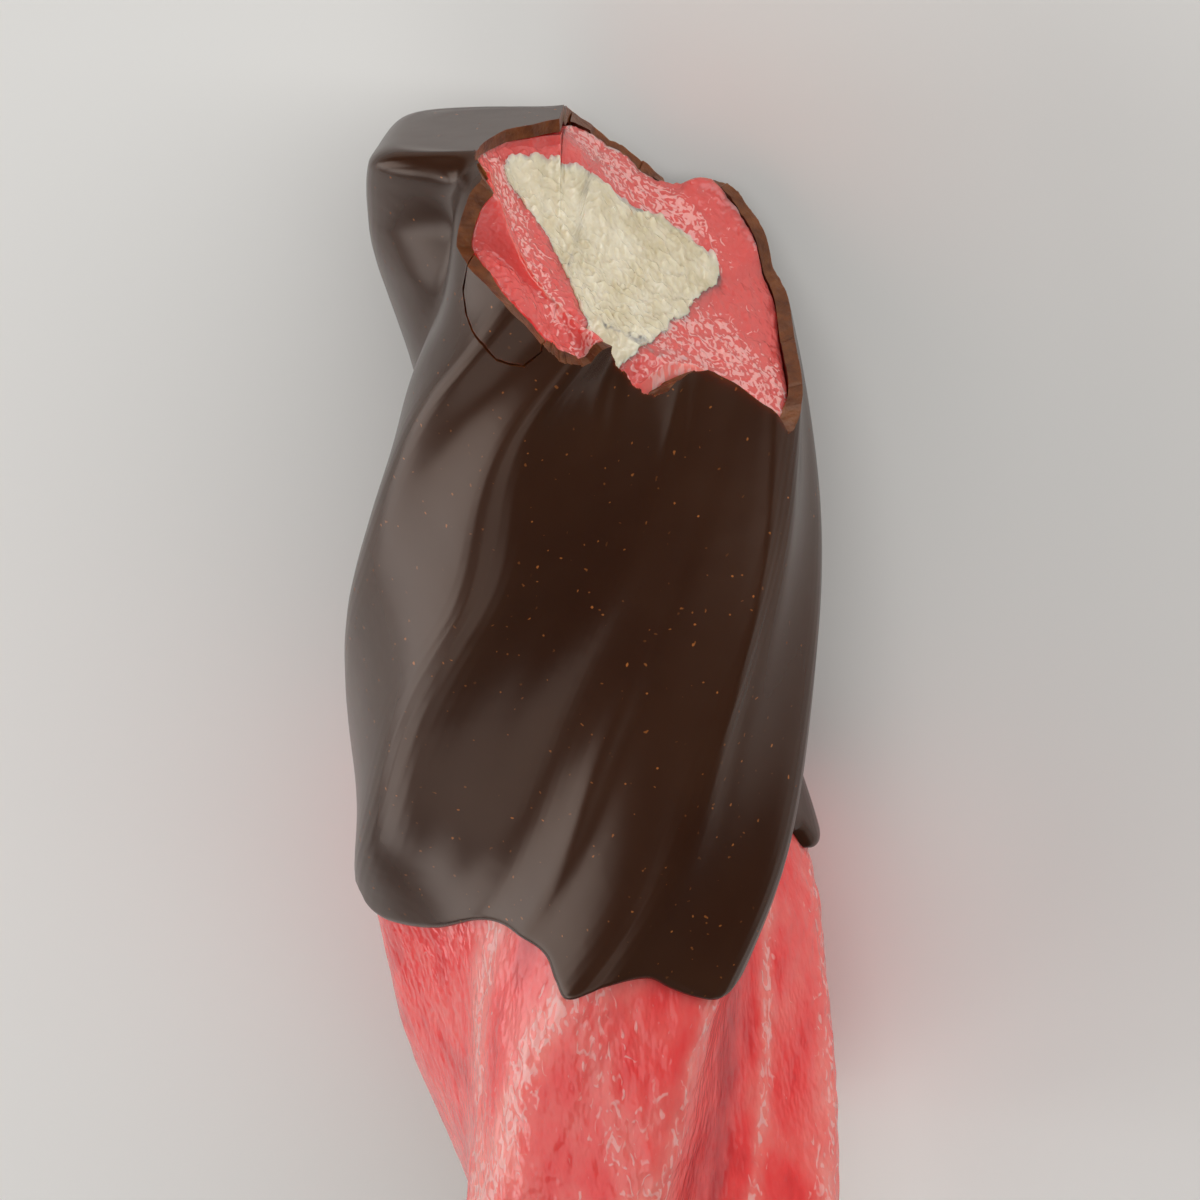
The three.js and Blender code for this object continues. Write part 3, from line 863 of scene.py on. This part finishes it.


# The strawberry ice. Frost and painted light on its outside are (angle at the chocolate's rim, its turn a mm
# downwards, width, amount): a positive amount is partly real frost and partly painted highlight, a negative
# one is painted shade that deepens the red in the valleys. Frost in the bite is (x, y, size). Relief is
# (squash along the bar, size, seed, mm high, mm more with frost and painted highlight, less with painted
# shade)
ice = {
    "around": 640,
    "under": bar["chocolate"] + 0.02,
    "rounding": 3,
    "roundRings": 6,
    "endInset": 0.2,
    "skinTo": 10,
    "skinStep": 0.33,
    "coveredStep": 1.5,
    "biteFrom": 52,
    "biteLevels": 60,
    "shownTo": 9,
    "shownSoft": 0.5,
    "raggedTo": 54,  # the height by which its edge inside the chocolate is ragged
    "ragged": (0.02, 0.07, 1.5, 0.6, 14),  # least, depth, unevenness, size, seed
    "shrink": 0.12,
    "relief": [(0.6, 2.2, 7, 0.14, 0), (0.45, 0.9, 8, 0.09, 0.16), (0.45, 0.45, 13, 0.03, 0.06)],
    "bandsTurnBelow": 6,
    "bittenAbove": 30,
    # amounts above 0 are partly frost and partly painted highlight, below 0 painted shade in the valleys
    "frostAndPaintedLightOutside": [
        (65, 0.85, 6, 1.1), (97, 0.0, 3.5, 1.1), (104, 1.4, 5, 0.5), (141, 0, 2.5, 0.6),
        (191.5, 0, 2.2, 0.9), (217, 0, 4, 0.7), (122, 0, 17, 0.12), (40, 0, 12, -0.3), (38, 0, 6, 0.3),
        (168, 0, 9, -0.9), (80, 0, 5, -0.4), (18, 0, 8, -0.4)],
    "frostBitten": [
        (1.1, 10.6, 2.2), (4.4, 9.8, 2.4), (6.9, 8.1, 2.4), (10.2, 8.0, 2.2), (7.4, -14.6, 2.2),
        (10.8, -3.5, 2.2), (14.1, -3.2, 2.2), (16.6, -6.6, 2.4), (10, -9, 3.2), (13, -9, 3),
        (-5.5, -3, 1.2), (-4.3, -5.6, 1.2), (-3.1, -8.2, 1.2), (-1.8, -11.2, 1.2), (-0.6, -14.1, 1.2),
        (1.8, -16.5, 1.4)],
    "cutStep": 0.6,  # degrees
}


def frostAndPaintedLightAt(points):  # frost and painted highlight at upright points, up to 1; below 0, painted shade in the valleys
    angle = barAngle(points)
    below = np.maximum(0, ice["bandsTurnBelow"] - points[..., 2])
    outside = sum(amount * near(angle, at + turn * below, width)
                  for at, turn, width, amount in ice["frostAndPaintedLightOutside"])
    bitten = sum(np.exp(-((points[..., 0] - x) ** 2 + (points[..., 1] - y) ** 2) / (2 * size**2))
                 for x, y, size in ice["frostBitten"])
    return np.clip(np.where(points[..., 2] > ice["bittenAbove"], bitten, outside), -1, 1)


def iceRelief(points, frostAndPaintedLight):
    return sum((plain + frosted * frostAndPaintedLight) * grain(points * np.array([1, 1, along]), size, seed)
               for along, size, seed, plain, frosted in ice["relief"])


def iceRings():
    angles = evenly(ice["around"])
    topOf = endHeight(angles, barRadius(angles, bar["endHeight"])) - ice["under"] - ice["rounding"]
    skin = np.arange(bar["foot"], ice["skinTo"], ice["skinStep"])
    covered = np.arange(ice["skinTo"], ice["biteFrom"], ice["coveredStep"])
    levels = [np.full(len(angles), h) for h in np.concatenate([skin, covered])]
    start = ice["biteFrom"]
    levels += [start + (topOf - start) * part for part in np.linspace(0, 1, ice["biteLevels"])]
    heights = np.array(levels)
    radius = barRadius(angles[None, :], heights) - ice["under"]
    rings = place(angles[None, :], radius, heights)
    shown = 1 / (1 + np.exp((heights - ice["shownTo"]) / ice["shownSoft"]))
    relief = iceRelief(rings, frostAndPaintedLightAt(rings)) * shown - ice["shrink"] * shown
    least, depth, uneven, size, seed = ice["ragged"]
    ragged = least + depth * (1 + uneven * grain(rings, size, seed))
    relief -= easeIn(heights, ice["biteFrom"], ice["raggedTo"]) * ragged
    rings = place(angles[None, :], radius + relief, heights)
    ends = []
    for t in np.radians(np.linspace(0, 90, ice["roundRings"] + 1)[1:]):
        height = topOf + ice["rounding"] * np.sin(t)
        inset = ice["rounding"] * (1 - np.cos(t))
        radius = barRadius(angles, height) - ice["under"] - ice["endInset"] - inset
        ends.append(place(angles, radius, height))
    return np.concatenate([rings, np.array(ends)])


def iceFace(azimuth, out, reach, height):  # the bitten surface of the ice, up to the chocolate's inner edge
    clearance = 0.15
    inner = reach - bar["chocolate"] - clearance
    x, y = fromCentre(azimuth, out)
    rise = atAzimuth("faceRise", azimuth) * bar["chocolate"] * (1 - onEnd(azimuth))
    edge = height - rise - atAzimuth("iceBelow", azimuth)
    share = np.clip(out / inner, 0, 1)
    risen = np.exp(-np.maximum(0, inner - out) / atAzimuth("iceFall", azimuth))
    plain = bitePlain(x, y) + (edge - bitePlain(*fromCentre(azimuth, inner))) * risen
    (ax, ay), (bx, by) = bite["ridgeFrom"], bite["ridgeTo"]
    left = ((x - ax) * (by - ay) - (y - ay) * (bx - ax)) / np.hypot(bx - ax, by - ay)  # mm left of the ridge
    trough = np.exp(-(((left - bite["troughAt"]) / bite["troughWidth"]) ** 2))
    return plain - bite["trough"] * trough * (1 - share**6)


# The bitten surfaces: grain and lumps as (mm high, size in mm, seed), and how far they are sunk
brokenSurface = {
    "ice": {"grain": [(0.16, 1.3, 9)], "lumps": [(0.4, 0.8, 10), (0.16, 0.5, 16)], "sunk": 0.1},
    "core": {"grain": [(0.22, 1.5, 11)], "lumps": [(0.65, 0.95, 12), (0.35, 0.6, 15)], "sunk": 0},
}


def brokenFace(kind):
    def heightAt(azimuth, out, reach, height):
        face = iceFace(azimuth, out, reach, height)
        points = np.stack([*fromCentre(azimuth, out), face], -1)
        for pattern, name in ((grain, "grain"), (lumps, "lumps")):
            for high, size, seed in brokenSurface[kind][name]:
                face = face + high * pattern(points, size, seed)
        return face - brokenSurface[kind]["sunk"]
    return heightAt


iceAzimuths = np.union1d(np.arange(0, 360, ice["cutStep"]), closeAzimuths)


def biteRings(reach):  # close even rings inside, and wider ones that run out to the uneven edge
    apart = np.abs(np.mod(iceAzimuths[:, None] - iceAzimuths[None, :] + 180, 360) - 180)
    lowest = np.array([reach[row < bite["evenOver"]].min() for row in apart])
    even = bite["evenShare"] * np.array([lowest[row < bite["evenOver"]].mean() for row in apart])
    inner = [even * share for share in np.linspace(bite["innermost"], 1, bite["evenRings"] + 1)]
    return inner + [even + (reach - even) * part for part in np.linspace(0, 1, bite["outerRings"] + 1)[1:]]


icePiece = ringSolid("strawberry_ice_body", iceRings(), iceSkin)
corePiece = ringSolid("vanilla_core_body", coreRings(), vanilla)
carve(icePiece, corePiece, keepCutter=True)
carve(icePiece, biteCutter("iceBite", iceAzimuths, biteRings, brokenFace("ice"), iceBreak))
carve(corePiece, biteCutter("coreBite", iceAzimuths, biteRings, brokenFace("core"), vanilla))
# the mask of frost, painted highlight and painted valley shade that the ice's material reads
frostAndPaintedLight = icePiece.data.attributes.new("frostAndPaintedLight", "FLOAT", "POINT")
frostAndPaintedLight.data.foreach_set("value", frostAndPaintedLightAt(toBar(meshPoints(icePiece))))
print("stage: ice", len(icePiece.data.polygons), "core", len(corePiece.data.polygons))


def stickRings():  # rounded at both ends
    half = stick["width"] / 2
    run = stick["length"] / 2 - half
    turns = np.radians(evenly(stick["around"]))
    rings = []
    for depth, bevelled in stick["rings"]:
        r = half - bevelled * stick["bevel"]
        x = r * np.cos(turns)
        y = np.full(len(turns), -depth * (stick["thickness"] / 2))
        z = r * np.sin(turns) + np.where(np.sin(turns) >= 0, run, -run)
        rings.append(np.stack([x, y, z], -1) + stickMiddle)
    return np.array(rings)


stickPiece = ringSolid("birch_stick", stickRings(), birch)
print("stage: stick")

for piece in (coverPiece, icePiece):  # the strip that the bar lies on is pressed flat
    points = meshPoints(piece)
    points[:, 2] = np.maximum(points[:, 2], bar["restHeight"] * mm)
    piece.data.vertices.foreach_set("co", points.ravel())

finished = [  # edges that turn by more than the last number of degrees stay sharp
    (coverPiece, "chocolate_shell", "chocolate", 35),
    (chipPiece, "chocolate_chip", "chocolate", 35),
    (icePiece, "strawberry_ice", "strawberry_ice", 80),
    (corePiece, "vanilla_core", "vanilla_ice", 80),
    (stickPiece, "wooden_stick", "stick", 40),
]
for piece, node, slot, sharpAngle in finished:
    piece.data.shade_smooth()
    piece.data.set_sharp_from_angle(angle=radians(sharpAngle))
    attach(piece, "root")
    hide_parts(node)

# The camera, from the upright bar: degrees to its right and above it, and mm away, right and up
view = {
    "side": 2.075,
    "elevation": 30.13,
    "distance": 618.8,
    "right": -0.162,
    "up": -28.625,
    "pixelsPerMm": 11.2,
    "pixelsAcross": 1200,
    "sensor": 36,
    "clip": (0.02, 20),  # metres
}
side, rise = radians(view["side"]), radians(view["elevation"])
viewRight = np.array([np.cos(side), 0, -np.sin(side)])
viewUp = np.array([np.sin(side) * np.cos(rise), np.sin(rise), np.cos(side) * np.cos(rise)])
viewBack = np.cross(viewRight, viewUp)
eye = -view["right"] * viewRight - view["up"] * viewUp + view["distance"] * viewBack


def rowMatrix(where, axes):
    turned = Matrix((layDown @ axes).tolist()).to_4x4()
    return Matrix.Translation(Vector(toRow(where).tolist())) @ turned


camera = bpy.data.objects.new("camera", bpy.data.cameras.new("camera"))
camera.matrix_world = rowMatrix(eye, np.column_stack([viewRight, viewUp, viewBack]))
camera.data.sensor_width = view["sensor"]
camera.data.lens = view["pixelsPerMm"] * view["distance"] / view["pixelsAcross"] * view["sensor"]
camera.data.clip_start, camera.data.clip_end = view["clip"]
bpy.context.scene.collection.objects.link(camera)
bpy.context.scene.camera = camera

# The plain studio. Its soft boxes are seen from the bar: degrees right of the camera and above it, distance
# and sides in mm, brightness
studio = {
    "floor": {"Base Color": hexColour("#eceae6"), "Roughness": 0.8},
    "floorReach": 3,  # metres each way
    "worldColour": "#ffffff",
    "worldStrength": 0.07,
    "aim": (0, 0, 30.0),
    "keyBox": (18, 13, 760, 1120, 680, 2.6),
    "leftBox": (-90, -16, 600, 500, 440, 2.6),
    "lowLeftBox": (-104, -50, 620, 260, 260, 2.6),
    "rightBox": (94, 4, 600, 120, 420, 2.0),
    "footBox": (-32, -66, 650, 460, 380, 1.0),
}
floorMaterial = newMaterial("floor_matt", studio["floor"])[0]
far = studio["floorReach"]
floorMesh = bpy.data.meshes.new("floor")
floorMesh.from_pydata([(-far, -far, 0), (far, -far, 0), (far, far, 0), (-far, far, 0)], [], [(0, 1, 2, 3)])
floorMesh.materials.append(floorMaterial)
floor = bpy.data.objects.new("floor", floorMesh)
bpy.context.scene.collection.objects.link(floor)

for name in ("keyBox", "leftBox", "lowLeftBox", "rightBox", "footBox"):
    turn, up, distance, width, height, brightness = studio[name]
    a, e = radians(turn), radians(up)
    back = np.sin(a) * np.cos(e) * viewRight + np.sin(e) * viewUp + np.cos(a) * np.cos(e) * viewBack
    across = np.cos(a) * viewRight - np.sin(a) * viewBack
    light = bpy.data.lights.new(name, "AREA")
    light.shape = "RECTANGLE"
    light.size, light.size_y = width * mm, height * mm
    light.energy = brightness * pi * width * height * mm * mm
    holder = bpy.data.objects.new(name, light)
    aim = np.array(studio["aim"])
    axes = np.column_stack([across, np.cross(back, across), back])
    holder.matrix_world = rowMatrix(aim + distance * back, axes)
    bpy.context.scene.collection.objects.link(holder)

world = bpy.data.worlds.new("studio")
world.use_nodes = True
background = world.node_tree.nodes["Background"]
background.inputs["Color"].default_value = hexColour(studio["worldColour"])
background.inputs["Strength"].default_value = studio["worldStrength"]
bpy.context.scene.world = world
bpy.context.scene.view_settings.view_transform = "Standard"
print("stage: studio")
